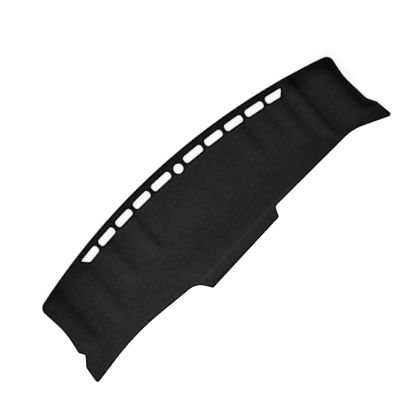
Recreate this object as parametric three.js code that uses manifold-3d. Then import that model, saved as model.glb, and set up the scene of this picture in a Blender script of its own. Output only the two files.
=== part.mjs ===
// Dashboard cover mat: one sheet of black felt, cut to the plan of a dashboard and overlocked along every
// cut edge. It lies on a level surface as it comes to rest, with the curl and the waves that its shape and
// its packing have left in it.
//
// Lengths are millimetres and Z is up. The cutting plan has its origin at the centre of the sensor hole,
// with +X to the right along the mat and +Y to the rear, where the windscreen is.
import * as THREE from 'three';
import { mergeVertices } from 'three/addons/utils/BufferGeometryUtils.js';
import Module from 'manifold-3d';

const wasm = await Module();
wasm.setup();

// Cloth and overlocked edge
const SHEET_THICKNESS = 3;
const SEAM_WIDTH = 4.5;
const THREAD_THICKNESS = 0.5;
const SEAM_CLEARANCE = 0.3;

// Outline of the sheet
const LEFT_REACH = 757;
const RIGHT_REACH = 738;
const REAR_EDGE_BEHIND_HOLE = 51.2;
const REAR_EDGE_RADIUS = 2585;

// Row of defroster slots, on an arc through the sheet's rear part
const SENSOR_HOLE_DIAMETER = 37;
const VENT_WIDTH = 28.5;
const VENT_CORNER_RADIUS = 10;
const VENT_TIP_RADIUS = 3;
const VENT_HEEL_RADIUS = 6;
const VENT_ROW_BEHIND_HOLE = 7;
const VENT_ROW_LEFT_OF_HOLE = 9;
const VENT_ROW_FLATTER_BY = 205;
const MIDDLE_VENTS = 3;

// Lengths of the slots of each side and of the webs between them. The outermost slot has a slanted end, and
// is shorter along its front than along its rear.
const leftVents = {
  side: -1,
  web: 17.8,
  inner: 87.5,
  middle: 77,
  outerWeb: 15.5,
  outerRear: 80,
  outerFront: 58,
};
const rightVents = {
  side: 1,
  web: 17.2,
  inner: 83.5,
  middle: 76,
  outerWeb: 14.5,
  outerRear: 74.5,
  outerFront: 54,
};

// Shape at rest: the rear edge and the two ends curl down to the floor, and waves run in from the rear
const REAR_CURL_HEIGHT = 12;
const REAR_CURL_WIDTH = 105;
const REAR_CURL_FALL = 140;
const CURL_CLEAR_OF_REAR = 14;
const CURL_RISE_WIDTH = 86;

// Curl of each end: how far its crest lies inside the end's reach, its height, its width on either side of
// the crest, how far the crest steps outwards towards the front, and where the step and the fade begin and
// end, measured forwards from the hole's centre.
const leftCurl = {
  side: -1,
  reach: LEFT_REACH,
  crest: 70,
  height: 12,
  outerWidth: 42,
  innerWidth: 75,
  step: 28,
  stepFrom: 290,
  stepTo: 340,
  fadeFrom: 230,
  fadeTo: 330,
};
const rightCurl = {
  side: 1,
  reach: RIGHT_REACH,
  crest: 83,
  height: 16,
  outerWidth: 48,
  innerWidth: 75,
  step: 33,
  stepFrom: 262,
  stepTo: 320,
  fadeFrom: 330,
  fadeTo: 385,
};

// Waves, each as the X of its crest, its height, and how far it reaches in from the rear edge
const WAVE_HALF_WIDTH = 38;
const WAVE_CLEAR_OF_REAR = 66;
const WAVE_RISE_WIDTH = 74;
const waves = [
  { crest: -516, height: 5, reach: 320 },
  { crest: -394, height: 5, reach: 290 },
  { crest: -263, height: 6, reach: 300 },
  { crest: -150, height: 3, reach: 190 },
  { crest: 262, height: 5, reach: 250 },
  { crest: 365, height: 4, reach: 230 },
  { crest: 440, height: 5, reach: 270 },
  { crest: 520, height: 7, reach: 290 },
];

// Crease where the flap bends, from its inner left corner to its inner right corner
const crease = { leftX: -240, leftY: -370, rightX: 182, rightY: -345.5 };
const CREASE_HEIGHT = 4;
const CREASE_FRONT_WIDTH = 46;
const CREASE_REAR_WIDTH = 60;
const CREASE_FADE = 60;

// Fineness: how far a chord may stray from its arc, and the steps in which the resting height is worked out
const CHORD_ERROR = 0.4;
const HEIGHT_STEP = 0.05;

// Lattice that carries the shape at rest, as shares of the widths of the waves and curls it follows
const LATTICE_MARGIN = 18;
const COLUMN_SPACING = 6;
const ROW_SPACING = 16;
const waveStations = [-1, -0.7, -0.25, 0.25, 0.7, 1];
const curlStations = [-1, -0.66, -0.33, 0, 0.33, 0.66, 1];
const rearFallStations = [0.55, 0.8, 1.05, 1.3];
const creaseStations = { behind: 0.75, ahead: [0.5, 1] };

// Heights between which the cutting tools stand, well past both faces of the sheet
const PRISM_FLOOR = -20;
const PRISM_HEIGHT = 100;

// Corners of the left end, from the rear corner to the front tip: how far each lies inside the left reach,
// how far ahead of the hole's centre, and its rounding radius. The points are those of the sharp corners.
const leftEnd = [
  { inside: 19, ahead: 57, radius: 28 },
  { inside: 35, ahead: 187, radius: 500 },
  { inside: 20.5, ahead: 277, radius: 8 },
  { inside: 35.5, ahead: 297.5, radius: 10 },
  { inside: 6, ahead: 335.5, radius: 20 },
  { inside: -1.5, ahead: 410, radius: 10 },
];

// Corners of the front edge, from left to right, with the flap in the middle of it.
const frontEdge = [
  { x: -525, ahead: 361.5, radius: 1270 },
  { x: -233, ahead: 370, radius: 80 },
  { x: -195, ahead: 423.4, radius: 8 },
  { x: 166.6, ahead: 384.2, radius: 6 },
  { x: 181.5, ahead: 345.3, radius: 15 },
  { x: 590, ahead: 317.5, radius: 180 },
];

// Corners of the right end, from the front tip to the rear corner.
const rightEnd = [
  { inside: -2, ahead: 376, radius: 9 },
  { inside: 11, ahead: 297.5, radius: 16 },
  { inside: 32, ahead: 262.5, radius: 24 },
  { inside: 46.5, ahead: 139, radius: 240 },
  { inside: 30, ahead: 48, radius: 28 },
];

// How many chords keep an arc within the chord error.
function arcSegments(radius, angle) {
  const step = 2 * Math.acos(1 - Math.min(CHORD_ERROR / radius, 0.5));
  return Math.max(2, Math.ceil(Math.abs(angle) / step));
}

// The rear edge is an arc between the rear corners of the two ends, and is worked with as chords.
function rearArcPoint(share) {
  const from = Math.asin((leftEnd[0].inside - LEFT_REACH) / REAR_EDGE_RADIUS);
  const to = Math.asin((RIGHT_REACH - rightEnd[rightEnd.length - 1].inside) / REAR_EDGE_RADIUS);
  const angle = THREE.MathUtils.lerp(from, to, share);
  return {
    x: REAR_EDGE_RADIUS * Math.sin(angle),
    y: REAR_EDGE_BEHIND_HOLE - REAR_EDGE_RADIUS * (1 - Math.cos(angle)),
    radius: 0,
  };
}

const rearArcAngle = (LEFT_REACH + RIGHT_REACH) / REAR_EDGE_RADIUS;
const rearChordCount = arcSegments(REAR_EDGE_RADIUS, rearArcAngle);
const rearChords = Array.from({ length: rearChordCount + 1 }, (_, k) => rearArcPoint(k / rearChordCount));

// Y of the rear edge at any X. Past its corners the last chord is drawn on.
function rearEdgeY(x) {
  const last = rearChords.length - 2;
  const passed = rearChords.filter((point) => point.x <= x).length - 1;
  const k = THREE.MathUtils.clamp(passed, 0, last);
  const [a, b] = [rearChords[k], rearChords[k + 1]];
  return THREE.MathUtils.mapLinear(x, a.x, b.x, a.y, b.y);
}

// The sheet's corners, counterclockwise from the rear left one. Along the rear they lie on the arc midway
// between the ends of the chords, so that none falls on a line of the lattice below.
function outlineCorners() {
  const left = leftEnd.map(({ inside, ahead, radius }) => ({ x: inside - LEFT_REACH, y: -ahead, radius }));
  const front = frontEdge.map(({ x, ahead, radius }) => ({ x, y: -ahead, radius }));
  const right = rightEnd.map(({ inside, ahead, radius }) => ({ x: RIGHT_REACH - inside, y: -ahead, radius }));
  const rear = rearChords.slice(1).map((_, k) => rearArcPoint((k + 0.5) / rearChordCount));
  left[0].y = rearArcPoint(0).y;
  right[right.length - 1].y = rearArcPoint(1).y;
  return [...left, ...front, ...right, ...rear.reverse()];
}

// Closed loop of points round sharp corners, each rounded by its radius. The loop is moved outwards by
// outset, with every rounding kept concentric. Corners run counterclockwise.
function roundedLoop(corners, outset) {
  const points = [];
  corners.forEach((corner, index) => {
    const before = corners[(index + corners.length - 1) % corners.length];
    const after = corners[(index + 1) % corners.length];
    const here = new THREE.Vector2(corner.x, corner.y);
    const sideIn = new THREE.Vector2(before.x, before.y).sub(here);
    const sideOut = new THREE.Vector2(after.x, after.y).sub(here);
    const room = Math.min(sideIn.length(), sideOut.length()) / 2;
    const headIn = sideIn.clone().normalize().negate();
    const headOut = sideOut.clone().normalize();
    const turn = Math.atan2(headIn.cross(headOut), headIn.dot(headOut));
    const normalIn = new THREE.Vector2(headIn.y, -headIn.x);
    const normalOut = new THREE.Vector2(headOut.y, -headOut.x);
    const miter = normalIn.clone().add(normalOut).multiplyScalar(outset / (1 + normalIn.dot(normalOut)));
    const sharp = here.clone().add(miter);
    if (corner.radius === 0) {
      points.push(sharp);
      return;
    }
    const bend = Math.sign(turn);
    const halfTurn = Math.tan(Math.abs(turn) / 2);
    const nominal = Math.min(corner.radius, room / halfTurn);
    const radius = Math.max(nominal + bend * outset, SEAM_CLEARANCE);
    const start = sharp.clone().addScaledVector(headIn, -radius * halfTurn);
    const centre = start.clone().addScaledVector(normalIn, -bend * radius);
    const steps = arcSegments(nominal, turn);
    for (let k = 0; k <= steps; k += 1) {
      points.push(start.clone().rotateAround(centre, (turn * k) / steps));
    }
  });
  return points;
}

// A slot's corners, counterclockwise. Its ends are distances along the row's arc from the sensor hole,
// and the outermost slot ends further out along its rear side than along its front.
function ventCorners(start, rearEnd, frontEnd) {
  const rowRadius = REAR_EDGE_RADIUS + VENT_ROW_FLATTER_BY;
  const middle = (start + rearEnd) / 2;
  const angle = (middle + VENT_ROW_LEFT_OF_HOLE) / rowRadius;
  const lengthwise = new THREE.Vector2(Math.cos(angle), -Math.sin(angle));
  const crosswise = new THREE.Vector2(Math.sin(angle), Math.cos(angle));
  const origin = new THREE.Vector2(
    rowRadius * Math.sin(angle) - VENT_ROW_LEFT_OF_HOLE,
    VENT_ROW_BEHIND_HOLE - rowRadius * (1 - Math.cos(angle)),
  );
  const slanted = rearEnd !== frontEnd;
  const places = [
    { along: start, across: -VENT_WIDTH / 2, radius: VENT_CORNER_RADIUS },
    { along: frontEnd, across: -VENT_WIDTH / 2, radius: slanted ? VENT_HEEL_RADIUS : VENT_CORNER_RADIUS },
    { along: rearEnd, across: VENT_WIDTH / 2, radius: slanted ? VENT_TIP_RADIUS : VENT_CORNER_RADIUS },
    { along: start, across: VENT_WIDTH / 2, radius: VENT_CORNER_RADIUS },
  ];
  const corners = places.map(({ along, across, radius }) => {
    const point = origin.clone()
      .addScaledVector(lengthwise, along - middle)
      .addScaledVector(crosswise, across);
    return { x: point.x, y: point.y, radius };
  });
  return start > 0 ? corners : corners.reverse();
}

// The slots of one side, counted from the sensor hole outwards.
function ventRow({ side, web, inner, middle, outerWeb, outerRear, outerFront }) {
  const row = [];
  let start = SENSOR_HOLE_DIAMETER / 2 + web;
  for (const length of [inner, ...Array(MIDDLE_VENTS).fill(middle)]) {
    const end = start + length;
    row.push(ventCorners(side * start, side * end, side * end));
    start = end + web;
  }
  start += outerWeb - web;
  row.push(ventCorners(side * start, side * (start + outerRear), side * (start + outerFront)));
  return row;
}

// The sensor hole as the corners of a square whose roundings meet.
function sensorHoleCorners() {
  const half = SENSOR_HOLE_DIAMETER / 2;
  return [[-1, -1], [1, -1], [1, 1], [-1, 1]].map(([x, y]) => ({ x: x * half, y: y * half, radius: half }));
}

// Smooth step from 0 at one value to 1 at another.
function ease(value, from, to) {
  return THREE.MathUtils.smootherstep((value - from) / (to - from), 0, 1);
}

// Smooth hump of height 1 at 0 that ends at -1 and 1.
function hump(share) {
  return Math.abs(share) < 1 ? Math.cos((share * Math.PI) / 2) ** 2 : 0;
}

// The end curls follow the ends' outline, which steps outwards at the front.
function curlStep(curl, y) {
  return curl.step * ease(-y, curl.stepFrom, curl.stepTo);
}

// Height of the curl along one end.
function endCurl(curl, x, y) {
  const out = curl.side * x - (curl.reach - curl.crest) - curlStep(curl, y);
  const shape = hump(out / (out > 0 ? curl.outerWidth : curl.innerWidth));
  return curl.height * shape * (1 - ease(-y, curl.fadeFrom, curl.fadeTo));
}

// Y of the flap's crease, drawn on past the flap at the same slope.
function creaseY(x) {
  const slope = (crease.rightY - crease.leftY) / (crease.rightX - crease.leftX);
  return crease.leftY + slope * (x - crease.leftX);
}

// 1 over the flap, falling to 0 on either side of it.
function flapShare(x) {
  return ease(x, crease.leftX - CREASE_FADE, crease.leftX + CREASE_FADE)
    * (1 - ease(x, crease.rightX - CREASE_FADE, crease.rightX + CREASE_FADE));
}

// Height of the sheet's underside over the floor at a point of the cutting plan.
function restHeight(x, y) {
  const inFromRear = rearEdgeY(x) - y;
  const curlRise = ease(inFromRear, CURL_CLEAR_OF_REAR, CURL_CLEAR_OF_REAR + CURL_RISE_WIDTH);
  const waveRise = ease(inFromRear, WAVE_CLEAR_OF_REAR, WAVE_CLEAR_OF_REAR + WAVE_RISE_WIDTH);
  const rearCurl = inFromRear < REAR_CURL_WIDTH
    ? 1 - (1 - Math.max(inFromRear, 0) / REAR_CURL_WIDTH) ** 2
    : hump((inFromRear - REAR_CURL_WIDTH) / REAR_CURL_FALL);
  let height = REAR_CURL_HEIGHT * rearCurl;
  height += curlRise * endCurl(leftCurl, x, y);
  height += curlRise * endCurl(rightCurl, x, y);
  for (const wave of waves) {
    const fade = 1 - ease(inFromRear, wave.reach / 2, wave.reach);
    height += wave.height * waveRise * fade * hump((x - wave.crest) / WAVE_HALF_WIDTH);
  }
  const beyond = y - creaseY(x);
  const creaseWidth = beyond < 0 ? CREASE_FRONT_WIDTH : CREASE_REAR_WIDTH;
  height += CREASE_HEIGHT * flapShare(x) * hump(beyond / creaseWidth);
  return Math.round(height / HEIGHT_STEP) * HEIGHT_STEP;
}

// Keeps every fixed line, and of the others those that stay the spacing clear of it and of each other.
function spacedLines(fixed, others, spacing) {
  const kept = [...fixed];
  for (const line of others) {
    if (kept.every((other) => Math.abs(other - line) > spacing)) {
      kept.push(line);
    }
  }
  return kept.sort((a, b) => a - b);
}

// Columns of the lattice, where the rear edge's chords meet and where the waves and end curls turn.
function latticeColumns() {
  const chordEnds = rearChords.map(({ x }) => x);
  const waveTurns = waves.flatMap(({ crest }) => (
    waveStations.map((share) => crest + share * WAVE_HALF_WIDTH)
  ));
  const curlTurns = [leftCurl, rightCurl].flatMap((curl) => curlStations.map((share) => {
    const width = share > 0 ? curl.outerWidth : curl.innerWidth;
    return curl.side * (curl.reach - curl.crest + share * width);
  }));
  const limits = [-LEFT_REACH - LATTICE_MARGIN, RIGHT_REACH + LATTICE_MARGIN];
  return spacedLines([...limits, ...chordEnds], [...curlTurns, ...waveTurns], COLUMN_SPACING);
}

// Rows of the lattice as distances from the rear edge.
const rearRows = spacedLines(
  [-LATTICE_MARGIN, CURL_CLEAR_OF_REAR, WAVE_CLEAR_OF_REAR],
  [
    CURL_CLEAR_OF_REAR + CURL_RISE_WIDTH,
    WAVE_CLEAR_OF_REAR + WAVE_RISE_WIDTH,
    (CURL_CLEAR_OF_REAR + WAVE_CLEAR_OF_REAR) / 2,
    ...rearFallStations.map((share) => REAR_CURL_WIDTH + share * REAR_CURL_FALL),
  ],
  ROW_SPACING,
);

// Further rows as distances from the crease.
const creaseRows = [
  CREASE_REAR_WIDTH * creaseStations.behind,
  0,
  ...creaseStations.ahead.map((share) => -CREASE_FRONT_WIDTH * share),
  -CREASE_FRONT_WIDTH - 2 * LATTICE_MARGIN,
];

// Away from the flap the sheet is shorter, and the crease's rows lie a little further forwards.
function creaseRowY(k, x) {
  return creaseY(x) + creaseRows[k] - ROW_SPACING * (1 - flapShare(x));
}

// Y of a row at any X. The rear rows close up where the sheet is too short for them.
function rowY(row, x) {
  if (row >= rearRows.length) {
    return creaseRowY(row - rearRows.length, x);
  }
  const firm = CURL_CLEAR_OF_REAR + CURL_RISE_WIDTH;
  const wanted = rearRows[rearRows.length - 1] + 2 * ROW_SPACING;
  const room = rearEdgeY(x) - creaseRowY(0, x);
  const share = Math.min(1, (room - firm) / (wanted - firm));
  const free = Math.max(0, rearRows[row] - firm);
  return rearEdgeY(x) - rearRows[row] + free * (1 - share);
}

// A lattice point: its column keeps its X, apart from the ends, where it follows the curl.
function latticePoint(column, row) {
  const y = rowY(row, column);
  let x = column;
  for (const curl of [leftCurl, rightCurl]) {
    const crest = curl.reach - curl.crest;
    x += curl.side * curlStep(curl, y) * ease(curl.side * column, crest - curl.innerWidth, crest);
  }
  return { x, y, height: restHeight(x, y) };
}

// A closed solid from a geometry, and a geometry from a solid.
function solidFrom(geometry) {
  geometry.deleteAttribute('normal');
  geometry.deleteAttribute('uv');
  const merged = mergeVertices(geometry, 1e-4);
  return new wasm.Manifold(new wasm.Mesh({
    numProp: 3,
    vertProperties: merged.getAttribute('position').array,
    triVerts: new Uint32Array(merged.index.array),
  }));
}

function geometryFrom(solid) {
  const mesh = solid.getMesh();
  const geometry = new THREE.BufferGeometry();
  geometry.setAttribute('position', new THREE.BufferAttribute(mesh.vertProperties, 3));
  geometry.setIndex(new THREE.BufferAttribute(mesh.triVerts, 1));
  return geometry;
}

// Upright prism over a closed loop of the cutting plan, taller than the sheet at rest.
function prism(loop) {
  const settings = { depth: PRISM_HEIGHT, bevelEnabled: false };
  const geometry = new THREE.ExtrudeGeometry(new THREE.Shape(loop), settings);
  geometry.translate(0, 0, PRISM_FLOOR);
  return solidFrom(geometry);
}

// The space between two levels of the cloth's thickness, at rest and not yet cut.
function drapedLayer(low, high) {
  const columns = latticeColumns();
  const rowCount = rearRows.length + creaseRows.length;
  const geometry = new THREE.BoxGeometry(1, 1, 1, columns.length - 1, rowCount - 1, 1);
  const position = geometry.getAttribute('position');
  for (let index = 0; index < position.count; index += 1) {
    const column = Math.round((position.getX(index) + 0.5) * (columns.length - 1));
    const row = Math.round((0.5 - position.getY(index)) * (rowCount - 1));
    const level = position.getZ(index) < 0 ? low : high;
    const { x, y, height } = latticePoint(columns[column], row);
    position.setXYZ(index, x, y, height + level);
  }
  return solidFrom(geometry);
}

// Depths into the cloth from a cut edge: the cloth's own edge inside the thread, and the cloth's full
// thickness beyond the seam.
const EDGE_DEPTH = THREAD_THICKNESS + SEAM_CLEARANCE;
const FULL_DEPTH = SEAM_WIDTH + SEAM_CLEARANCE;

const outline = outlineCorners();
const openings = [
  { name: 'sensor_hole_edging', corners: sensorHoleCorners() },
  ...ventRow(leftVents).map((corners, k) => ({ name: `vent_edging_left_${k + 1}`, corners })),
  ...ventRow(rightVents).map((corners, k) => ({ name: `vent_edging_right_${k + 1}`, corners })),
];

const wholeLayer = drapedLayer(0, SHEET_THICKNESS);
const insideThread = drapedLayer(THREAD_THICKNESS, SHEET_THICKNESS - THREAD_THICKNESS);
const pressedLayer = drapedLayer(EDGE_DEPTH, SHEET_THICKNESS - EDGE_DEPTH);

// The sheet at a depth in from every cut edge.
function sheetArea(depth) {
  return openings.reduce(
    (area, opening) => area.subtract(prism(roundedLoop(opening.corners, depth))),
    prism(roundedLoop(outline, -depth)),
  );
}

// The cloth: full thickness inside the seams, pressed thin where the thread wraps its edge.
function matPanel() {
  const body = wholeLayer.intersect(sheetArea(FULL_DEPTH));
  const pressedEdge = pressedLayer.intersect(sheetArea(EDGE_DEPTH));
  return body.add(pressedEdge);
}

// The thread over the outer edge: a channel that opens inwards.
function outerBinding() {
  const band = prism(roundedLoop(outline, 0)).subtract(prism(roundedLoop(outline, -SEAM_WIDTH)));
  const hollow = insideThread.intersect(prism(roundedLoop(outline, -THREAD_THICKNESS)));
  return wholeLayer.intersect(band).subtract(hollow);
}

// The thread round an opening: a channel that opens away from it.
function openingEdging(corners) {
  const band = prism(roundedLoop(corners, SEAM_WIDTH)).subtract(prism(roundedLoop(corners, 0)));
  const hollow = insideThread.subtract(prism(roundedLoop(corners, THREAD_THICKNESS)));
  return wholeLayer.intersect(band).subtract(hollow);
}

// Black felt: matt, with a soft grey bloom
function feltMaterial() {
  return new THREE.MeshStandardMaterial({ color: '#222222', roughness: 0.97, flatShading: true });
}

// Black polyester thread: a little darker and smoother than the felt
function threadMaterial() {
  return new THREE.MeshStandardMaterial({ color: '#171717', roughness: 0.85, flatShading: true });
}

const mat = new THREE.Group();
mat.name = 'dashboard_cover_mat';

function addPiece(name, solid, material) {
  const piece = new THREE.Mesh(geometryFrom(solid), material);
  piece.name = name;
  mat.add(piece);
}

addPiece('mat_panel', matPanel(), feltMaterial());
addPiece('edge_binding', outerBinding(), threadMaterial());
for (const { name, corners } of openings) {
  addPiece(name, openingEdging(corners), threadMaterial());
}

// The finished mat stands with the middle of its base at the origin.
const box = new THREE.Box3().setFromObject(mat);
const middle = box.getCenter(new THREE.Vector3());
mat.position.set(-middle.x, -middle.y, -box.min.z);

export default mat;
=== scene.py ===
"""Dashboard cover mat of black needled felt, lying as it comes to rest on a pale floor.

The mat is one sheet, cut to the plan of a dashboard and overlocked along its outer edge, round its
defroster slots and round its sensor hole. The cutting plan is in millimetres, with its origin at the
centre of the sensor hole, +X to the right along the mat and +Y to the rear, at the windscreen.
"""

import logging
import math
from collections.abc import Iterable, Sequence
from dataclasses import dataclass
from enum import Enum
from typing import ClassVar

import bmesh
import bpy
from mathutils import Matrix, Vector, kdtree, noise


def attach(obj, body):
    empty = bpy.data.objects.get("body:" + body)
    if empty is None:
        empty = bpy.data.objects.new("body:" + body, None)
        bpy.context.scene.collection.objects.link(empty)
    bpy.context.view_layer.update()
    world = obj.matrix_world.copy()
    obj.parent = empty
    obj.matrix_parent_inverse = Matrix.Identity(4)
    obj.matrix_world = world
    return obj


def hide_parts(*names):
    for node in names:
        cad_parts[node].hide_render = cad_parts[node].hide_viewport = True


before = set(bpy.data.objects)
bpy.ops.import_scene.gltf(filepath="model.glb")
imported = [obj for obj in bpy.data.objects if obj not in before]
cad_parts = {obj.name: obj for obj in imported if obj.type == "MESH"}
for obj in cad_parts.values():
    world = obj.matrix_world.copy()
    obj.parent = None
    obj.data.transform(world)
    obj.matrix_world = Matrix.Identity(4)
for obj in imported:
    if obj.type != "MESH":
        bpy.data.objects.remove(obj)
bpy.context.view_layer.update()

LOG = logging.getLogger("dashboard_cover_mat")
MM = 0.001
SEAM_DEPTH = "seam_depth"
ALONG_THREAD = "along_thread"


# Small geometry helpers


def ease(value: float, start: float, end: float) -> float:
    """Steps smoothly from 0 at one value to 1 at another.

    Args:
        value: The number to place between the two.
        start: Where the step begins.
        end: Where the step ends.

    Returns:
        The height of the step, from 0 to 1.
    """
    share = min(1.0, max(0.0, (value - start) / (end - start)))
    return share**3 * (share * (share * 6 - 15) + 10)


def hump(share: float) -> float:
    """Gives a smooth hump of height 1 at 0 that ends at -1 and 1.

    Args:
        share: The place across the hump.

    Returns:
        The hump's height there.
    """
    return math.cos(share * math.pi / 2) ** 2 if abs(share) < 1 else 0.0


def profile(points: Sequence[tuple[float, float]], at: float) -> float:
    """Reads a height off a line through a few points, with a smooth step between each two.

    Args:
        points: Pairs of place and height, in rising order of place.
        at: The place to read.

    Returns:
        The height there.
    """
    for (low, first), (high, second) in zip(points, points[1:]):
        if at <= high:
            return first + (second - first) * ease(at, low, high)
    return points[-1][1]


# The cutting plan


@dataclass(frozen=True)
class Corner:
    """A corner of a cut line, with the radius that rounds it, in millimetres."""

    x: float
    y: float
    radius: float = 0.0


@dataclass(frozen=True)
class VentRow:
    """The defroster slots of one side, as their lengths and the webs between them, in millimetres."""

    side: int
    web: float
    inner: float
    middle: float
    outer_web: float
    outer_rear: float
    outer_front: float


@dataclass(frozen=True)
class EndCurl:
    """The curl along one end of the mat, in millimetres in from the end's reach."""

    crest: float
    height: float
    outer_width: float
    inner_width: float
    step: float
    step_from: float
    step_to: float
    fade_from: float
    fade_to: float
    flat_top: float = 0

    def height_at(self, inside: float, forward: float) -> float:
        """Gives the curl's height over the floor.

        Args:
            inside: Distance in from the end's reach.
            forward: Distance in front of the hole.

        Returns:
            The height in millimetres.
        """
        out = self.crest - self.step * ease(forward, self.step_from, self.step_to) - inside
        share = max(0, out - self.flat_top) / self.outer_width if out > 0 else out / self.inner_width
        return self.height * hump(share) * (1 - ease(forward, self.fade_from, self.fade_to))


@dataclass(frozen=True)
class Wave:
    """A wave that runs in from the slots, steeper on its right, in millimetres."""

    crest: float
    height: float
    reach: float
    start: float = 36
    rise: float = 34
    climb_width: float = 55
    fall_width: float = 38
    hold: float = 0.7

    def height_at(self, x: float, inside: float) -> float:
        """Gives the wave's height over the floor.

        Args:
            x: Place along the mat.
            inside: Distance from the rear edge.

        Returns:
            The height in millimetres.
        """
        share = ease(inside, self.start, self.start + self.rise)
        share *= 1 - ease(inside, self.reach * self.hold, self.reach)
        out = x - self.crest
        return self.height * share * hump(out / (self.fall_width if out > 0 else self.climb_width))


@dataclass(frozen=True)
class CuttingPlan:
    """The mat's cut lines and its shape at rest, in millimetres."""

    # Outline and the fineness of its arcs
    left_reach: float = 757
    right_reach: float = 738
    rear_behind_hole: float = 51.2
    rear_radius: float = 2585
    corner_room: float = 64
    chord_error: float = 0.02
    smallest_radius: float = 0.3
    doubled_within: float = 0.01
    # Sensor hole and defroster slots
    hole_diameter: float = 37
    vent_width: float = 28.5
    vent_corner: float = 10
    vent_tip: float = 3
    vent_heel: float = 6
    row_behind_hole: float = 7
    row_left_of_hole: float = 9
    row_flatter_by: float = 205
    middle_vents: int = 3
    left_vents: VentRow = VentRow(
        side=-1, web=17.8, inner=87.5, middle=77, outer_web=15.5, outer_rear=80, outer_front=58
    )
    right_vents: VentRow = VentRow(
        side=1, web=17.2, inner=83.5, middle=76, outer_web=14.5, outer_rear=74.5, outer_front=54
    )
    # Shape at rest: the strip behind the slots, the two ends, the waves as crest, height and reach, and
    # the crease with its flap
    rear_curl_height: float = 15.5
    rear_curl_width: float = 62
    rear_curl_bend: float = 1.5
    rear_curl_eased: float = 0.65
    rear_curl_eased_over: tuple[float, float] = (470, 640)
    rear_curl_fall: float = 230
    curl_start: float = -30
    curl_rise: float = 75
    left_curl: EndCurl = EndCurl(
        crest=90,
        height=11,
        outer_width=44,
        inner_width=48,
        step=28,
        step_from=290,
        step_to=340,
        fade_from=250,
        fade_to=345,
        flat_top=14,
    )
    right_curl: EndCurl = EndCurl(
        crest=86,
        height=15.5,
        outer_width=50,
        inner_width=90,
        step=33,
        step_from=262,
        step_to=320,
        fade_from=250,
        fade_to=335,
    )
    waves: tuple[Wave, ...] = (
        Wave(-513, 5.5, 320),
        Wave(-388, 7, 265),
        Wave(-256, 7, 265),
        Wave(-147, 2.5, 110),
        Wave(265, 5, 240),
        Wave(366, 3, 220),
        Wave(443, 4.5, 270),
        Wave(519, 6.5, 320, start=-40, climb_width=46, fall_width=30),
    )
    crease_left: tuple[float, float] = (-240, -368.7)
    crease_right: tuple[float, float] = (340, -312.8)
    crease_height: float = 4
    crease_front_width: float = 15
    crease_rear_width: float = 110
    flap_lift: float = 4.5
    flap_lift_from: float = 36
    flap_lift_eased: float = 0.6
    flap_lift_eased_over: tuple[float, float] = (-150, 80)
    flap_length: float = 62
    flap_left: tuple[float, float] = (-260, -170)
    flap_right: tuple[float, float] = (190, 360)
    # Corners of the left end from the rear, of the front edge from the left, and of the right end from the
    # front, each as its distance inside the end's reach, or its X, and its distance in front of the hole.
    # The two rear corners have no such distance, because they lie on the rear arc.
    left_end: tuple[Corner, ...] = (
        Corner(19, 0, 28),
        Corner(35, 187, 500),
        Corner(20.5, 277, 8),
        Corner(35.5, 297.5, 10),
        Corner(6, 335.5, 20),
        Corner(-1.5, 410, 10),
    )
    front_edge: tuple[Corner, ...] = (
        Corner(-525, 361.5, 1270),
        Corner(-233, 370, 80),
        Corner(-195, 423.4, 8),
        Corner(166.6, 384.2, 6),
        Corner(181.5, 345.3, 15),
        Corner(590, 317.5, 180),
    )
    right_end: tuple[Corner, ...] = (
        Corner(-2, 376, 9),
        Corner(11, 297.5, 16),
        Corner(32, 262.5, 24),
        Corner(46.5, 139, 240),
        Corner(30, 0, 28),
    )

    def rear_y(self, x: float) -> float:
        """Gives the rear edge's Y at any X, on its arc.

        Args:
            x: Place along the mat.

        Returns:
            The edge's Y there.
        """
        drop = self.rear_radius - math.sqrt(self.rear_radius**2 - x**2)
        return self.rear_behind_hole - drop

    def arc_steps(self, radius: float, angle: float) -> int:
        """Counts the chords that keep an arc within the chord error.

        Args:
            radius: The arc's radius.
            angle: Its angle in radians.

        Returns:
            The number of chords.
        """
        step = 2 * math.acos(1 - min(self.chord_error / radius, 0.5))
        return max(2, math.ceil(abs(angle) / step))

    def outline(self) -> list[Corner]:
        """Lists the sheet's corners, counterclockwise from the rear left one.

        Returns:
            The corners, those of the rear arc among them.
        """
        left_x = self.left_end[0].x - self.left_reach
        right_x = self.right_reach - self.right_end[-1].x
        left = [Corner(c.x - self.left_reach, -c.y, c.radius) for c in self.left_end]
        front = [Corner(c.x, -c.y, c.radius) for c in self.front_edge]
        right = [Corner(self.right_reach - c.x, -c.y, c.radius) for c in self.right_end]
        left[0] = Corner(left_x, self.rear_y(left_x), left[0].radius)
        right[-1] = Corner(right_x, self.rear_y(right_x), right[-1].radius)
        steps = self.arc_steps(self.rear_radius, (right_x - left_x) / self.rear_radius)
        first, last = right_x - self.corner_room, left_x + self.corner_room
        stations = [first + (last - first) * k / steps for k in range(steps + 1)]
        return [*left, *front, *right, *(Corner(x, self.rear_y(x)) for x in stations)]

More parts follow.
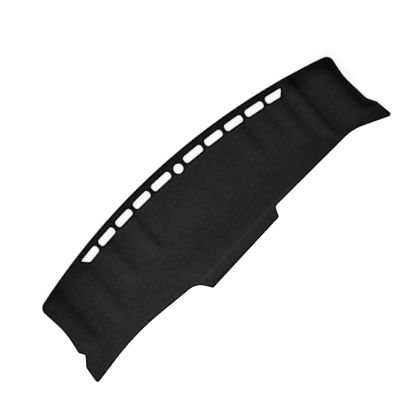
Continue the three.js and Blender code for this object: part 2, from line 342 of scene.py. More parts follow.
    def vent(self, start: float, rear_end: float, front_end: float) -> list[Corner]:
        """Lists a slot's corners, counterclockwise.

        Args:
            start: Distance along the row from the hole to the slot's inner end.
            rear_end: The same to the outer end of its rear side.
            front_end: The same to the outer end of its front side.

        Returns:
            The four corners.
        """
        radius = self.rear_radius + self.row_flatter_by
        middle = (start + rear_end) / 2
        angle = (middle + self.row_left_of_hole) / radius
        along = Vector((math.cos(angle), -math.sin(angle)))
        across = Vector((math.sin(angle), math.cos(angle)))
        origin = Vector((radius * math.sin(angle), -radius * (1 - math.cos(angle))))
        origin += Vector((-self.row_left_of_hole, self.row_behind_hole))
        slanted = rear_end != front_end
        half = self.vent_width / 2
        places = [
            (start, -half, self.vent_corner),
            (front_end, -half, self.vent_heel if slanted else self.vent_corner),
            (rear_end, half, self.vent_tip if slanted else self.vent_corner),
            (start, half, self.vent_corner),
        ]
        corners = []
        for far, side, rounding in places:
            point = origin + along * (far - middle) + across * side
            corners.append(Corner(point.x, point.y, rounding))
        return corners if start > 0 else corners[::-1]

    def vent_row(self, row: VentRow) -> list[list[Corner]]:
        """Lists the slots of one side, from the sensor hole outwards.

        Args:
            row: The side's lengths.

        Returns:
            The corners of each slot.
        """
        slots = []
        start = self.hole_diameter / 2 + row.web
        for length in [row.inner, *[row.middle] * self.middle_vents]:
            end = start + length
            slots.append(self.vent(row.side * start, row.side * end, row.side * end))
            start = end + row.web
        start += row.outer_web - row.web
        rear_end, front_end = start + row.outer_rear, start + row.outer_front
        slots.append(self.vent(row.side * start, row.side * rear_end, row.side * front_end))
        return slots

    def sensor_hole(self) -> list[Corner]:
        """Gives the sensor hole as the corners of a square whose roundings meet."""
        half = self.hole_diameter / 2
        signs = ((-1, -1), (1, -1), (1, 1), (-1, 1))
        return [Corner(x * half, y * half, half) for x, y in signs]

    def loop(self, corners: Sequence[Corner], outset: float) -> list[Vector]:
        """Rounds the corners of a cut line and moves it outwards, every rounding kept concentric.

        Args:
            corners: The line's corners, counterclockwise.
            outset: How far to move it, negative inwards.

        Returns:
            The points of the closed line.
        """
        points: list[Vector] = []
        for index, corner in enumerate(corners):
            before, after = corners[index - 1], corners[(index + 1) % len(corners)]
            here = Vector((corner.x, corner.y))
            side_in = Vector((before.x, before.y)) - here
            side_out = Vector((after.x, after.y)) - here
            room = min(side_in.length, side_out.length) / 2
            head_in, head_out = -side_in.normalized(), side_out.normalized()
            turn = math.atan2(head_in.cross(head_out), head_in.dot(head_out))
            normal_in = Vector((head_in.y, -head_in.x))
            normal_out = Vector((head_out.y, -head_out.x))
            miter = (normal_in + normal_out) * (outset / (1 + normal_in.dot(normal_out)))
            sharp = here + miter
            if corner.radius == 0:
                points.append(sharp)
                continue
            bend = math.copysign(1, turn)
            half_turn = math.tan(abs(turn) / 2)
            nominal = min(corner.radius, room / half_turn)
            radius = max(nominal + bend * outset, self.smallest_radius)
            start = sharp - head_in * radius * half_turn
            centre = start - normal_in * bend * radius
            steps = self.arc_steps(nominal, turn)
            for k in range(steps + 1):
                points.append(centre + Matrix.Rotation(turn * k / steps, 2) @ (start - centre))
        return [p for k, p in enumerate(points) if (p - points[k - 1]).length > self.doubled_within]

    def crease_y(self, x: float) -> float:
        """Gives the Y of the flap's crease, drawn on level past its two ends."""
        (left_x, left_y), (right_x, right_y) = self.crease_left, self.crease_right
        share = (min(max(x, left_x), right_x) - left_x) / (right_x - left_x)
        return left_y + (right_y - left_y) * share

    def flap_height(self, x: float, y: float) -> float:
        """Gives the height that the crease and the lifted flap in front of it add.

        Args:
            x: Place along the mat.
            y: Place across the mat.

        Returns:
            The height in millimetres.
        """
        share = ease(x, *self.flap_left) * (1 - ease(x, *self.flap_right))
        ahead = self.crease_y(x) - y
        ridge = hump(ahead / (self.crease_front_width if ahead > 0 else self.crease_rear_width))
        lift = ease(ahead, self.flap_lift_from, self.flap_length)
        lift *= 1 - self.flap_lift_eased * ease(x, *self.flap_lift_eased_over)
        return share * (self.crease_height * ridge + self.flap_lift * lift)

    def rest_height(self, x: float, y: float) -> float:
        """Gives the height of the mat's underside over the floor.

        Args:
            x: Place along the mat.
            y: Place across the mat.

        Returns:
            The height in millimetres.
        """
        inside = self.rear_y(x) - y
        if inside < self.rear_curl_width:
            rear_curl = 1 - (1 - max(inside, 0) / self.rear_curl_width) ** self.rear_curl_bend
        else:
            rear_curl = hump((inside - self.rear_curl_width) / self.rear_curl_fall)
        rear_curl *= 1 - self.rear_curl_eased * ease(-x, *self.rear_curl_eased_over)
        height = self.rear_curl_height * rear_curl + self.flap_height(x, y)
        curl_rise = ease(inside, self.curl_start, self.curl_start + self.curl_rise)
        height += curl_rise * self.left_curl.height_at(self.left_reach + x, -y)
        height += curl_rise * self.right_curl.height_at(self.right_reach - x, -y)
        return height + sum(wave.height_at(x, inside) for wave in self.waves)

    def to_row(self) -> Matrix:
        """Gives the matrix from plan millimetres to the row frame's metres.

        Returns:
            A scale to metres after a shift that puts the middle of the outline at the origin.
        """
        points = self.loop(self.outline(), 0)
        xs, ys = [p.x for p in points], [p.y for p in points]
        middle = Vector(((min(xs) + max(xs)) / 2, (min(ys) + max(ys)) / 2, 0))
        return Matrix.Scale(MM, 4) @ Matrix.Translation(-middle)


# Finishes


def linear(colour: str) -> tuple[float, float, float, float]:
    """Turns an sRGB hex colour to the linear values that a shader takes.

    Args:
        colour: The colour, such as "#1f1f20".

    Returns:
        Red, green, blue and an alpha of 1.
    """
    channels = [int(colour[k : k + 2], 16) / 255 for k in (1, 3, 5)]
    red, green, blue = (c / 12.92 if c <= 0.04045 else ((c + 0.055) / 1.055) ** 2.4 for c in channels)
    return red, green, blue, 1.0


def add_node(
    tree: bpy.types.NodeTree,
    kind: str,
    inputs: dict[str | int, object] | None = None,
    **settings: object,
) -> bpy.types.Node:
    """Adds a node with its settings and links.

    Args:
        tree: The tree to add it to.
        kind: The node's type.
        inputs: A value, or the socket to link, for each named or numbered input.
        settings: The node's own properties.

    Returns:
        The node.
    """
    node = tree.nodes.new(kind)
    for name, value in settings.items():
        setattr(node, name, value)
    for key, value in (inputs or {}).items():
        if isinstance(value, bpy.types.NodeSocket):
            tree.links.new(value, node.inputs[key])
        else:
            node.inputs[key].default_value = value
    return node


def reckon(tree: bpy.types.NodeTree, operation: str, *terms: object) -> bpy.types.NodeSocket:
    """Adds a maths node.

    Args:
        tree: The tree to add it to.
        operation: What it does.
        terms: Its values, or the sockets to link.

    Returns:
        The result.
    """
    return add_node(tree, "ShaderNodeMath", dict(enumerate(terms)), operation=operation).outputs[0]


def new_material(name: str) -> tuple[bpy.types.Material, bpy.types.NodeTree]:
    """Makes an empty material.

    Args:
        name: Its name.

    Returns:
        The material and its node tree.
    """
    material = bpy.data.materials.new(name)
    material.use_nodes = True
    material.node_tree.nodes.clear()
    return material, material.node_tree


@dataclass(frozen=True)
class Grain:
    """One scale of a surface's grain, as a noise texture."""

    spacing_mm: float
    detail: float
    roughness: float = 0.5
    distortion: float = 0.0

    def height(self, tree: bpy.types.NodeTree, place: bpy.types.NodeSocket) -> bpy.types.NodeSocket:
        """Adds the texture.

        Args:
            tree: The material's tree.
            place: The place on the object, in metres.

        Returns:
            The grain's height, from 0 to 1.
        """
        return add_node(
            tree,
            "ShaderNodeTexNoise",
            {
                "Vector": place,
                "Scale": 1 / (self.spacing_mm * MM),
                "Detail": self.detail,
                "Roughness": self.roughness,
                "Distortion": self.distortion,
            },
        ).outputs["Fac"]


@dataclass(frozen=True)
class FabricGloss:
    """How a fabric's surface and its loose fibres take the light."""

    roughness: tuple[float, float]
    ior: float
    specular: float
    sheen: float
    sheen_roughness: float
    sheen_tint: str
    grain_range: tuple[float, float] = (0.3, 0.7)

    def finish(
        self,
        tree: bpy.types.NodeTree,
        colour: bpy.types.NodeSocket,
        grain: bpy.types.NodeSocket,
        relief: bpy.types.NodeSocket,
    ) -> None:
        """Adds the shader and the output that end a material.

        Args:
            tree: The material's tree.
            colour: The fabric's colour.
            grain: The texture that its roughness follows.
            relief: Its bumped normal.
        """
        (low, high), (smoothest, roughest) = self.grain_range, self.roughness
        rough = add_node(
            tree,
            "ShaderNodeMapRange",
            {"Value": grain, "From Min": low, "From Max": high, "To Min": smoothest, "To Max": roughest},
        )
        shader = add_node(
            tree,
            "ShaderNodeBsdfPrincipled",
            {
                "Base Color": colour,
                "Roughness": rough.outputs["Result"],
                "Normal": relief,
                "IOR": self.ior,
                "Specular IOR Level": self.specular,
                "Sheen Weight": self.sheen,
                "Sheen Roughness": self.sheen_roughness,
                "Sheen Tint": linear(self.sheen_tint),
            },
        )
        add_node(tree, "ShaderNodeOutputMaterial", {"Surface": shader.outputs["BSDF"]})


@dataclass(frozen=True)
class NeedledFelt:
    """Black polyester felt, needled and not woven: matt, with a soft grey bloom from its loose fibres."""

    deep: str = "#1b1b1b"
    bloom: str = "#2e2e2e"
    # Painted highlight: the paler colour of a band just inside every seam
    painted_seam_highlight: str = "#3a3a3a"
    fibre: Grain = Grain(1.4, detail=4.0, roughness=0.65, distortion=1.4)
    tuft: Grain = Grain(9.0, detail=3.0, roughness=0.6, distortion=0.6)
    nap: Grain = Grain(60.0, detail=2.0, roughness=0.5, distortion=0.8)
    nap_share: float = 0.25
    fibre_relief_mm: float = 0.35
    tuft_relief_mm: float = 0.5
    tone_from: tuple[float, float] = (0.85, 1.4)
    relief_strength: float = 0.5
    # Painted shade: how dark the band along every seam is, and where it lies
    painted_seam_shade: float = 0.25
    painted_seam_shade_mm: tuple[float, float] = (5.5, 12.0)
    # Painted highlight: how strong the paler band inside every seam is, and where it rises and falls
    painted_seam_highlight_share: float = 0.3
    painted_seam_highlight_rise_mm: tuple[float, float] = (6.0, 9.0)
    painted_seam_highlight_fall_mm: tuple[float, float] = (10.0, 18.0)
    gloss: FabricGloss = FabricGloss(
        roughness=(0.88, 1.0),
        ior=1.46,
        specular=0.2,
        sheen=0.15,
        sheen_roughness=0.5,
        sheen_tint="#7c7c7c",
    )

    def material(self) -> bpy.types.Material:
        """Builds the felt.

        Returns:
            The material.
        """
        material, tree = new_material("black_needled_felt")
        place = add_node(tree, "ShaderNodeTexCoord").outputs["Object"]
        # Single fibres are a few hundredths of a millimetre, so they are drawn as coarse as tangled tufts.
        # The nap leans one way here and another there, as on any felt that has been handled.
        fibre, tuft, nap = (grain.height(tree, place) for grain in (self.fibre, self.tuft, self.nap))
        shade = reckon(tree, "MULTIPLY_ADD", nap, self.nap_share, reckon(tree, "ADD", fibre, tuft))
        darkest, palest = self.tone_from
        tone = add_node(
            tree,
            "ShaderNodeMapRange",
            {"Value": shade, "From Min": darkest, "From Max": palest},
        ).outputs["Result"]
        cloth = add_node(
            tree,
            "ShaderNodeMix",
            {0: tone, 6: linear(self.deep), 7: linear(self.bloom)},
            data_type="RGBA",
        ).outputs[2]
        # Painted shade and painted highlight: a dark band painted along each seam stands in for the shade
        # at the cloth's pressed edge. A paler band painted a little further in stands in for the highlight
        # on the felt's raised step beside the stitching.
        depth = add_node(tree, "ShaderNodeAttribute", attribute_name=SEAM_DEPTH).outputs["Fac"]
        steps = []
        for (start, end), low, high in (
            (self.painted_seam_highlight_rise_mm, 0.0, self.painted_seam_highlight_share),
            (self.painted_seam_highlight_fall_mm, 1.0, 0.0),
            (self.painted_seam_shade_mm, self.painted_seam_shade, 1.0),
        ):
            step = add_node(
                tree,
                "ShaderNodeMapRange",
                {"Value": depth, "From Min": start, "From Max": end, "To Min": low, "To Max": high},
                interpolation_type="SMOOTHSTEP",
            )
            steps.append(step.outputs["Result"])
        # Painted highlight: the paler band a little inside each seam
        highlight_band = reckon(tree, "MULTIPLY", steps[0], steps[1])
        highlighted_felt = add_node(
            tree,
            "ShaderNodeMix",
            {0: highlight_band, 6: cloth, 7: linear(self.painted_seam_highlight)},
            data_type="RGBA",
        ).outputs[2]
        # Painted shade: the felt's colour darkened in the band along the seams
        colour = add_node(
            tree,
            "ShaderNodeVectorMath",
            {0: highlighted_felt, "Scale": steps[2]},
            operation="SCALE",
        ).outputs[0]
        relief = None
        for height, distance in ((tuft, self.tuft_relief_mm), (fibre, self.fibre_relief_mm)):
            sizes = {"Height": height, "Strength": self.relief_strength, "Distance": distance * MM}
            if relief is not None:
                sizes["Normal"] = relief
            relief = add_node(tree, "ShaderNodeBump", sizes).outputs["Normal"]
        self.gloss.finish(tree, colour, fibre, relief)
        return material


@dataclass(frozen=True)
class OverlockYarn:
    """Black textured polyester yarn, spun soft for overlocking: darker than the felt, with a dull gloss."""

    shade: str = "#070707"
    light: str = "#111111"
    filament: Grain = Grain(0.5, detail=2.0, roughness=0.6)
    patch: Grain = Grain(14.0, detail=3.0, roughness=0.6)
    relief_mm: float = 0.12
    relief_strength: float = 0.6
    crimp_share: float = 0.5
    gloss: FabricGloss = FabricGloss(
        roughness=(0.62, 0.82),
        ior=1.54,
        specular=0.15,
        sheen=0.05,
        sheen_roughness=0.4,
        sheen_tint="#777777",
    )

    def material(self) -> bpy.types.Material:
        """Builds the yarn.

        Returns:
            The material.
        """
        material, tree = new_material("black_overlock_yarn")
        place = add_node(tree, "ShaderNodeTexCoord").outputs["Object"]
        along = add_node(tree, "ShaderNodeAttribute", attribute_name=ALONG_THREAD).outputs["Fac"]
        # The crimped filaments cross the yarn, so the pattern runs with the length along it.
        turns = reckon(tree, "MULTIPLY", along, 2 * math.pi / self.filament.spacing_mm)
        crimp = reckon(tree, "SINE", turns)
        patch, fuzz = self.patch.height(tree, place), self.filament.height(tree, place)
        colour = add_node(
            tree,
            "ShaderNodeMix",
            {0: patch, 6: linear(self.shade), 7: linear(self.light)},
            data_type="RGBA",
        ).outputs[2]
        height = reckon(tree, "MULTIPLY_ADD", crimp, self.crimp_share, fuzz)
        relief = add_node(
            tree,
            "ShaderNodeBump",
            {"Height": height, "Strength": self.relief_strength, "Distance": self.relief_mm * MM},
        ).outputs["Normal"]
        self.gloss.finish(tree, colour, fuzz, relief)
        return material


@dataclass(frozen=True)
class StudioPaper:
    """Matt white background paper, which the camera sees as nearly white and which takes a soft shadow."""

    colour: str = "#f4f4f4"
    lift: float = 0.86
    grain: Grain = Grain(4.0, detail=2.0)
    relief_mm: float = 0.1
    relief_strength: float = 0.05

    def material(self) -> bpy.types.Material:
        """Builds the paper.

        Returns:
            The material.
        """
        material, tree = new_material("white_studio_paper")
        place = add_node(tree, "ShaderNodeTexCoord").outputs["Object"]
        grain = self.grain.height(tree, place)
        relief = add_node(
            tree,
            "ShaderNodeBump",
            {"Height": grain, "Strength": self.relief_strength, "Distance": self.relief_mm * MM},
        )
        matt = add_node(
            tree,
            "ShaderNodeBsdfDiffuse",
            {"Color": linear(self.colour), "Roughness": 1.0, "Normal": relief.outputs["Normal"]},
        )
        rays = add_node(tree, "ShaderNodeLightPath")
        seen = reckon(tree, "MULTIPLY", rays.outputs["Is Camera Ray"], self.lift)
        glow = add_node(
            tree,
            "ShaderNodeEmission",
            {"Color": (1, 1, 1, 1), "Strength": seen},
        )
        both = add_node(tree, "ShaderNodeAddShader", {0: matt.outputs[0], 1: glow.outputs[0]})
        add_node(tree, "ShaderNodeOutputMaterial", {"Surface": both.outputs[0]})
        return material


# Pieces


def piece_from(bm: bmesh.types.BMesh, name: str, material: bpy.types.Material) -> bpy.types.Object:
    """Ends a mesh as a smooth-shaded object at the origin.

    Args:
        bm: The finished mesh, in metres in the row frame. It is freed.
        name: The object's name.
        material: Its finish.

    Returns:
        The object.
    """
    mesh = bpy.data.meshes.new(name)
    bm.to_mesh(mesh)
    bm.free()
    mesh.materials.append(material)
    mesh.polygons.foreach_set("use_smooth", [True] * len(mesh.polygons))
    piece = bpy.data.objects.new(name, mesh)
    bpy.context.scene.collection.objects.link(piece)
    return piece


def sweep(
    bm: bmesh.types.BMesh,
    ring: list[bmesh.types.BMEdge],
    frames: Sequence[Matrix],
    lengths: Sequence[float],
) -> list[bmesh.types.BMEdge]:
    """Extrudes a ring of edges from frame to frame.

    Args:
        bm: The mesh that holds the ring.
        ring: The ring's edges, where the first frame puts them.
        frames: The frame of each station.
        lengths: The length along the thread at each station, in millimetres.

    Returns:
        The edges of the last ring.
    """
    along = bm.verts.layers.float[ALONG_THREAD]
    for before, after, length in zip(frames, frames[1:], lengths[1:]):
        made = bmesh.ops.extrude_edge_only(bm, edges=ring)["geom"]
        verts = [e for e in made if isinstance(e, bmesh.types.BMVert)]
        ring = [e for e in made if isinstance(e, bmesh.types.BMEdge) and all(v in verts for v in e.verts)]
        bmesh.ops.transform(bm, matrix=after @ before.inverted(), verts=verts)
        for vert in verts:
            vert[along] = length
    return ring


@dataclass
class FeltPanel:
    """The sheet of felt: full thickness inside the seams, pressed where the yarn wraps its edge."""

    plan: CuttingPlan
    finish: NeedledFelt
    cell: float = 4.5
    shortest_side: float = 0.75
    ring_depths: tuple[float, ...] = (0.8, 2.8, 4.6, 5.5, 6.6)
    top_profile: tuple[tuple[float, float], ...] = ((0.8, 2.2), (4.3, 2.25), (6.6, 3.0), (20.0, 3.0))
    underside_profile: tuple[tuple[float, float], ...] = ((0.8, 0.8), (4.3, 0.7), (6.6, 0.0), (20.0, 0.0))
    on_line_within: float = 0.05
    ring_tolerance: float = 1e-4
    place_decimals: ClassVar[int] = 4
    unevenness: float = 0.35
    uneven_over: float = 45.0
    finer_by: float = 3.0
    finer_share: float = 0.4
    finer_slice: float = 30.0
    even_within: float = 30.0
    nearest_seam_reach: float = 60.0

    def cut_lines(self, depth: float) -> list[list[Vector]]:
        """Gives every cut line, moved into the cloth.

        Args:
            depth: How far, in millimetres.

        Returns:
            The outer line and then the openings' lines.
        """
        openings = [self.plan.sensor_hole()]
        openings += self.plan.vent_row(self.plan.left_vents) + self.plan.vent_row(self.plan.right_vents)
        return [self.plan.loop(self.plan.outline(), -depth), *(self.plan.loop(o, depth) for o in openings)]

    def flat_sheet(self) -> bmesh.types.BMesh:
        """Fills the area inside the seams and cuts it into square cells.

        Returns:
            The flat mesh, in plan millimetres.
        """
        bm = bmesh.new()
        bm.verts.layers.float.new(SEAM_DEPTH)
        edges = []
        for line in self.cut_lines(self.ring_depths[-1]):
            verts = [bm.verts.new((p.x, p.y, 0)) for p in line]
            edges += [bm.edges.new(pair) for pair in zip(verts, verts[1:] + verts[:1])]
        bmesh.ops.triangle_fill(bm, use_beauty=True, use_dissolve=False, edges=edges, normal=(0, 0, 1))
        fill_line = bm.edges.layers.int.new("fill_line")
        for edge in bm.edges:
            edge[fill_line] = 0 if edge.is_boundary else 1
        for axis in (1, 0):
            places = [v.co[axis] for v in bm.verts]
            normal = Vector((axis == 0, axis == 1, 0))
            count = math.ceil((max(places) - min(places)) / self.cell)
            for k in range(1, count):
                bmesh.ops.bisect_plane(
                    bm,
                    geom=bm.verts[:] + bm.edges[:] + bm.faces[:],
                    dist=self.on_line_within,
                    plane_co=normal * (min(places) + k * self.cell),
                    plane_no=normal,
                )
        spare = [e for e in bm.edges if e[fill_line] and not e.is_boundary]
        bmesh.ops.dissolve_edges(bm, edges=spare, use_verts=False, use_face_split=False)
        loose = [v for v in bm.verts if len(v.link_edges) == 2 and not v.is_boundary]
        bmesh.ops.dissolve_verts(bm, verts=loose)
        # A side shorter than this would fold back when the rings widen past a rounded corner.
        rim = [v for v in bm.verts if v.is_boundary]
        bmesh.ops.remove_doubles(bm, verts=rim, dist=self.shortest_side)
        bm.normal_update()
        bmesh.ops.reverse_faces(bm, faces=[f for f in bm.faces if f.normal.z < 0])
        bm.edges.layers.int.remove(bm.edges.layers.int["fill_line"])
        return bm

    def add_rings(self, bm: bmesh.types.BMesh) -> None:
        """Widens the sheet to its cut edge, ring by ring, so that the cloth can be pressed along it.

        Args:
            bm: The flat mesh. Each vertex gets its depth from the edge.
        """
        depth = bm.verts.layers.float[SEAM_DEPTH]
        rim = [e for e in bm.edges if e.is_boundary]
        at = self.ring_depths[-1]
        for vert in {v for e in rim for v in e.verts}:
            vert[depth] = at
        for to in reversed(self.ring_depths[:-1]):
            outwards = self.outward(rim)
            made = bmesh.ops.extrude_edge_only(bm, edges=rim)["geom"]
            verts = [e for e in made if isinstance(e, bmesh.types.BMVert)]
            for vert in verts:
                vert.co += outwards[vert.co.to_tuple(self.place_decimals)] * (at - to)
                vert[depth] = to
            rim = [e for e in made if isinstance(e, bmesh.types.BMEdge) and e.is_boundary]
            at = to

    @classmethod
    def outward(cls, rim: Iterable[bmesh.types.BMEdge]) -> dict[tuple[float, ...], Vector]:
        """Works out which way each vertex of a rim moves when the rim widens by one.

        Args:
            rim: The boundary edges, of faces that look up.

        Returns:
            The mitred direction, by the vertex's place.
        """
        normals: dict[tuple[float, ...], list[Vector]] = {}
        for edge in rim:
            loop = next(l for l in edge.link_loops)
            head = loop.link_loop_next.vert.co - loop.vert.co
            side = Vector((head.y, -head.x, 0)).normalized()
            for vert in edge.verts:
                normals.setdefault(vert.co.to_tuple(cls.place_decimals), []).append(side)
        moves = {}
        for place, pair in normals.items():
            total = sum(pair, Vector((0, 0, 0)))
            moves[place] = total / (1 + pair[0].dot(pair[-1]))
        return moves

    def measure_depths(self, bm: bmesh.types.BMesh) -> None:
        """Gives each vertex inside the rings its distance from the nearest cut edge.

        Args:
            bm: The flat mesh.
        """
        depth = bm.verts.layers.float[SEAM_DEPTH]
        rim = [v for v in bm.verts if abs(v[depth] - self.ring_depths[-1]) < self.ring_tolerance]
        tree = kdtree.KDTree(len(rim))
        for index, vert in enumerate(rim):
            tree.insert(vert.co, index)
        tree.balance()
        for vert in bm.verts:
            if vert[depth] == 0:
                vert[depth] = self.ring_depths[-1] + min(tree.find(vert.co)[2], self.nearest_seam_reach)

    def unevenness_at(self, x: float, y: float, depth: float) -> float:
        """Gives how far the nap stands proud or low, because felt is never of one thickness.

        Args:
            x: Place along the mat.
            y: Place across the mat.
            depth: Distance from the nearest cut edge.

        Returns:
            The offset in millimetres, nothing at the seams.
        """
        coarse = noise.noise(Vector((x, y, 0)) / self.uneven_over)
        fine = noise.noise(Vector((x, y, self.finer_slice)) / (self.uneven_over / self.finer_by))
        swell = self.unevenness * (coarse + self.finer_share * fine)
        return swell * ease(depth, self.ring_depths[-1], self.even_within)

    def build(self) -> bpy.types.Object:
        """Cuts, widens, thickens and drapes the sheet.

        Returns:
            The finished piece.
        """
        bm = self.flat_sheet()
        self.add_rings(bm)
        self.measure_depths(bm)
        bmesh.ops.recalc_face_normals(bm, faces=bm.faces[:])
        if bm.faces[0].normal.z > 0:
            bmesh.ops.reverse_faces(bm, faces=bm.faces[:])
        made = bmesh.ops.extrude_face_region(bm, geom=bm.faces[:], use_keep_orig=True)["geom"]
        upper = {v for v in made if isinstance(v, bmesh.types.BMVert)}
        depth = bm.verts.layers.float[SEAM_DEPTH]
        for vert in bm.verts:
            x, y, inside = vert.co.x, vert.co.y, vert[depth]
            rest = self.plan.rest_height(x, y)
            if vert in upper:
                rest += profile(self.top_profile, inside) + self.unevenness_at(x, y, inside)
            else:
                rest += profile(self.underside_profile, inside)
            vert.co.z = rest
        bmesh.ops.recalc_face_normals(bm, faces=bm.faces[:])
        bmesh.ops.transform(bm, matrix=self.plan.to_row(), verts=bm.verts[:])
        return piece_from(bm, "felt_panel", self.finish.material())


@dataclass
class OverlockSeam:
    """The yarn over one cut edge: a close wrap, slanted stitches over it and a row of needle stitches."""

    plan: CuttingPlan
    corners: list[Corner]
    outer: bool
    material: bpy.types.Material
    stitch_pitch: float = 3.0
    wrap_pitch: float = 7.0
    yarn_radius: float = 0.45
    yarn_sides: int = 5
    wrap_section: tuple[tuple[float, float], ...] = (
        (4.5, 0.15),
        (1.3, 0.1),
        (0.4, 0.55),
        (0.1, 1.5),
        (0.4, 2.4),
        (1.3, 2.8),
        (4.5, 2.75),
        (4.5, 2.3),
        (1.5, 2.3),
        (0.7, 1.5),
        (1.5, 0.7),
        (4.5, 0.7),
    )
    stitch_path: tuple[tuple[float, float, float], ...] = (
        (-0.3, 4.7, 2.7),
        (0.0, 3.6, 2.85),
        (0.5, 1.6, 2.85),
        (0.9, 0.35, 2.35),
        (1.0, 0.05, 1.5),
        (0.9, 0.35, 0.75),
        (0.5, 1.6, 0.46),
        (0.0, 4.4, 0.46),
    )
    needle_path: tuple[tuple[float, float, float], ...] = (
        (-1.35, 4.35, 2.6),
        (-0.7, 4.35, 2.95),
        (0.7, 4.35, 2.95),
        (1.35, 4.35, 2.6),
    )
    name: str = "outer_seam"
    seam_width: float = 4.5
    slope_step: float = 2.0
    fewest_stations: int = 8
    wrap_closes_within: float = 0.02
    length_slack: float = 1e-6
    lies_along_from: float = 0.8

    def frame_at(self, point: Vector, inwards: Vector) -> Matrix:
        """Gives the frame of a stitch: along the edge, into the cloth, and up from its underside.

        Args:
            point: A point of the cut line.
            inwards: The direction into the cloth there.

        Returns:
            The matrix, sheared to follow the cloth's slope.
        """
        along = Vector((-inwards.y, inwards.x))
        here = self.plan.rest_height(point.x, point.y)
        deep = point + inwards * self.seam_width
        ahead = point + along * self.slope_step
        slope_in = (self.plan.rest_height(deep.x, deep.y) - here) / self.seam_width
        slope_along = (self.plan.rest_height(ahead.x, ahead.y) - here) / self.slope_step
        return Matrix(
            (
                (along.x, inwards.x, 0, point.x),
                (along.y, inwards.y, 0, point.y),
                (slope_along, slope_in, 1, here),
                (0, 0, 0, 1),
            )
        )

    def stations(self, pitch: float) -> tuple[list[Matrix], float]:
        """Places frames along the cut line at an even pitch.

        Args:
            pitch: The wanted distance between two, in millimetres.

        Returns:
            The frames, and the pitch that divides the line evenly.
        """
        line = self.plan.loop(self.corners, 0)
        inner = self.plan.loop(self.corners, -1 if self.outer else 1)
        sides = list(zip(line, inner, line[1:] + line[:1], inner[1:] + inner[:1]))
        lengths = [(end - start).length for start, _, end, _ in sides]
        count = max(self.fewest_stations, round(sum(lengths) / pitch))
        even = sum(lengths) / count
        frames, wanted, passed = [], 0.0, 0.0
        for (start, start_in, end, end_in), length in zip(sides, lengths):
            while len(frames) < count and wanted < passed + length - self.length_slack:
                share = (wanted - passed) / length
                point = start.lerp(end, share)
                inwards = (start_in.lerp(end_in, share) - point).normalized()
                frames.append(self.frame_at(point, inwards))
                wanted += even
            passed += length
        return frames, even

    def wrap(self, bm: bmesh.types.BMesh) -> None:
        """Sweeps the close wrap of yarn round the cut line.

        Args:
            bm: The mesh to add it to.
        """
        frames, pitch = self.stations(self.wrap_pitch)
        verts = [bm.verts.new(frames[0] @ Vector((0, d, h))) for d, h in self.wrap_section]
        ring = [bm.edges.new(pair) for pair in zip(verts, verts[1:] + verts[:1])]
        closed = [*frames, frames[0]]
        sweep(bm, ring, closed, [k * pitch for k in range(len(closed))])
        bmesh.ops.remove_doubles(bm, verts=bm.verts[:], dist=self.wrap_closes_within)

    def yarn(self, path: Sequence[tuple[float, float, float]]) -> bmesh.types.BMesh:
        """Makes one length of yarn along a path in a stitch's frame.

        Args:
            path: Points along the edge, into the cloth and up, in millimetres.

        Returns:
            The closed tube.
        """
        bm = bmesh.new()
        bm.verts.layers.float.new(ALONG_THREAD)
        points = [Vector(p) for p in path]
        frames, lengths, length = [], [], 0.0
        for k, point in enumerate(points):
            before, after = points[max(k - 1, 0)], points[min(k + 1, len(points) - 1)]
            ahead = (after - before).normalized()
            side = Vector((1, 0, 0)) if abs(ahead.x) < self.lies_along_from else Vector((0, 1, 0))
            up = ahead.cross(side).normalized()
            side = up.cross(ahead)
            turn = Matrix((side, up, ahead)).transposed().to_4x4()
            frames.append(Matrix.Translation(point) @ turn)
            length += (point - points[max(k - 1, 0)]).length
            lengths.append(length)
        made = bmesh.ops.create_circle(
            bm,
            cap_ends=True,
            segments=self.yarn_sides,
            radius=self.yarn_radius,
            matrix=frames[0],
        )
        ring = list({e for v in made["verts"] for e in v.link_edges})
        last = sweep(bm, ring, frames, lengths)
        bmesh.ops.contextual_create(bm, geom=last)
        bmesh.ops.recalc_face_normals(bm, faces=bm.faces[:])
        return bm

    def stitches(self, bm: bmesh.types.BMesh) -> None:
        """Sets a stitch at each station of the cut line.

        Args:
            bm: The mesh to add them to.
        """
        one = self.yarn(self.stitch_path)
        needle = self.yarn(self.needle_path)
        scratch = bpy.data.meshes.new("one_stitch")
        needle.to_mesh(scratch)
        one.from_mesh(scratch)
        needle.free()
        for place in self.stations(self.stitch_pitch)[0]:
            copy = one.copy()
            bmesh.ops.transform(copy, matrix=place, verts=copy.verts[:])
            copy.to_mesh(scratch)
            bm.from_mesh(scratch)
            copy.free()
        one.free()
        bpy.data.meshes.remove(scratch)

    def build(self) -> bpy.types.Object:
        """Makes the seam.

        Returns:
            The finished piece.
        """
        bm = bmesh.new()
        bm.verts.layers.float.new(ALONG_THREAD)
        self.wrap(bm)
        bmesh.ops.recalc_face_normals(bm, faces=bm.faces[:])
        self.stitches(bm)
        bmesh.ops.transform(bm, matrix=self.plan.to_row(), verts=bm.verts[:])
        if not self.outer:
            bmesh.ops.recalc_face_normals(bm, faces=bm.faces[:])
        return piece_from(bm, self.name, self.material)


# Studio


class LampKind(Enum):
    """The kinds of lamp in the studio."""

    PANEL = "AREA"
    SPOT = "SPOT"


@dataclass(frozen=True)
class Lamp:
    """A soft lamp, in metres: a square panel, or a spot whose light fades out towards its cone's edge."""

    name: str
    kind: LampKind
    place: tuple[float, float, float]
    aim: tuple[float, float, float]
    size: float
    watts: float
    cone_deg: float = 180

    def hang(self) -> None:
        """Hangs the lamp and points it."""
        light = bpy.data.lights.new(self.name, self.kind.value)
        light.energy = self.watts
        if self.kind is LampKind.SPOT:
            light.shadow_soft_size = self.size / 2
            light.spot_size = math.radians(self.cone_deg)
            light.spot_blend = 1.0
        else:
            light.size = self.size
        lamp = bpy.data.objects.new(self.name, light)
        bpy.context.scene.collection.objects.link(lamp)
        lamp.location = self.place
        lamp.rotation_euler = (Vector(self.aim) - Vector(self.place)).to_track_quat("-Z", "Y").to_euler()


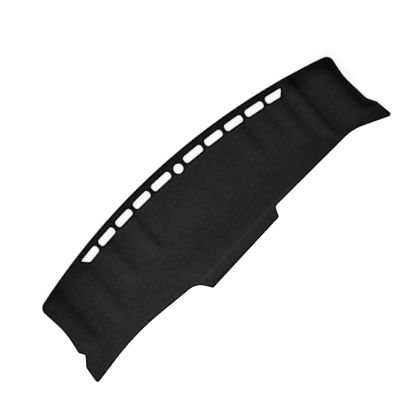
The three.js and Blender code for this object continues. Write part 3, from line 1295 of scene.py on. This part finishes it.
@dataclass
class Studio:
    """A pale floor, soft lamps and the camera, which looks straight down."""

    photo_turn_deg: float = 41.0
    frame_width: float = 1.56
    frame_centre: tuple[float, float] = (-0.0031, 0.0024)
    lens_mm: float = 100.0
    sensor_mm: float = 36.0
    sees_to: float = 50.0
    floor_size: float = 14.0
    floor_gap: float = 0.0006
    world_level: float = 0.07
    lamps: tuple[Lamp, ...] = (
        Lamp(
            "key",
            LampKind.SPOT,
            place=(-2.35, -2.55, 1.55),
            aim=(-0.21, -0.26, 0),
            size=0.7,
            watts=950,
            cone_deg=26.5,
        ),
        Lamp("fill", LampKind.PANEL, place=(0.6, 0.9, 2.6), aim=(0, 0, 0), size=2.4, watts=4),
    )

    def floor(self) -> None:
        """Lays the paper that the mat lies on."""
        bm = bmesh.new()
        bmesh.ops.create_grid(bm, x_segments=2, y_segments=2, size=self.floor_size / 2)
        bmesh.ops.translate(bm, vec=(0, 0, -self.floor_gap), verts=bm.verts[:])
        floor = piece_from(bm, "floor", StudioPaper().material())

    def world(self) -> None:
        """Surrounds the studio with even light, which the camera sees as white."""
        world = bpy.data.worlds.new("studio")
        bpy.context.scene.world = world
        world.use_nodes = True
        tree = world.node_tree
        tree.nodes.clear()
        rays = add_node(tree, "ShaderNodeLightPath")
        level = add_node(
            tree,
            "ShaderNodeMapRange",
            {"Value": rays.outputs["Is Camera Ray"], "To Min": self.world_level, "To Max": 1.0},
        )
        light = add_node(
            tree,
            "ShaderNodeBackground",
            {"Color": (1, 1, 1, 1), "Strength": level.outputs["Result"]},
        )
        add_node(tree, "ShaderNodeOutputWorld", {"Surface": light.outputs[0]})

    def camera(self) -> None:
        """Sets the camera straight over the mat, turned as the photograph is."""
        data = bpy.data.cameras.new("camera")
        data.lens = self.lens_mm
        data.sensor_width = self.sensor_mm
        data.clip_end = self.sees_to
        camera = bpy.data.objects.new("camera", data)
        bpy.context.scene.collection.objects.link(camera)
        height = self.frame_width * self.lens_mm / self.sensor_mm
        camera.location = (*self.frame_centre, height)
        camera.rotation_euler = (0, 0, -math.radians(self.photo_turn_deg))
        bpy.context.scene.camera = camera

    def build(self) -> None:
        """Sets up the floor, the lamps, the world and the camera."""
        self.floor()
        for lamp in self.lamps:
            lamp.hang()
        self.world()
        self.camera()
        bpy.context.scene.view_settings.view_transform = "Standard"


def seam_pieces(plan: CuttingPlan, yarn: bpy.types.Material) -> dict[str, OverlockSeam]:
    """Names every seam by the node it stands for.

    Args:
        plan: The cutting plan.
        yarn: The yarn's finish.

    Returns:
        The seams by the nodes' names.
    """
    outlines = {
        "edge_binding": ("outer_seam", plan.outline()),
        "sensor_hole_edging": ("sensor_hole_seam", plan.sensor_hole()),
    }
    for side, row in (("left", plan.left_vents), ("right", plan.right_vents)):
        for k, corners in enumerate(plan.vent_row(row), start=1):
            outlines[f"vent_edging_{side}_{k}"] = (f"vent_seam_{side}_{k}", corners)
    return {
        node: OverlockSeam(plan, corners, outer=node == "edge_binding", material=yarn, name=name)
        for node, (name, corners) in outlines.items()
    }


def main() -> None:
    """Builds the mat and its studio in order."""
    logging.basicConfig(level=logging.INFO, format="%(name)s: %(message)s")
    plan = CuttingPlan()
    panel = FeltPanel(plan, NeedledFelt()).build()
    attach(panel, "root")
    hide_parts("mat_panel")
    LOG.info("%s: %d faces", panel.name, len(panel.data.polygons))
    yarn = OverlockYarn().material()
    for node, seam in seam_pieces(plan, yarn).items():
        piece = seam.build()
        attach(piece, "root")
        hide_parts(node)
        LOG.info("%s: %d faces", piece.name, len(piece.data.polygons))
    Studio().build()


if __name__ == "__main__":
    main()
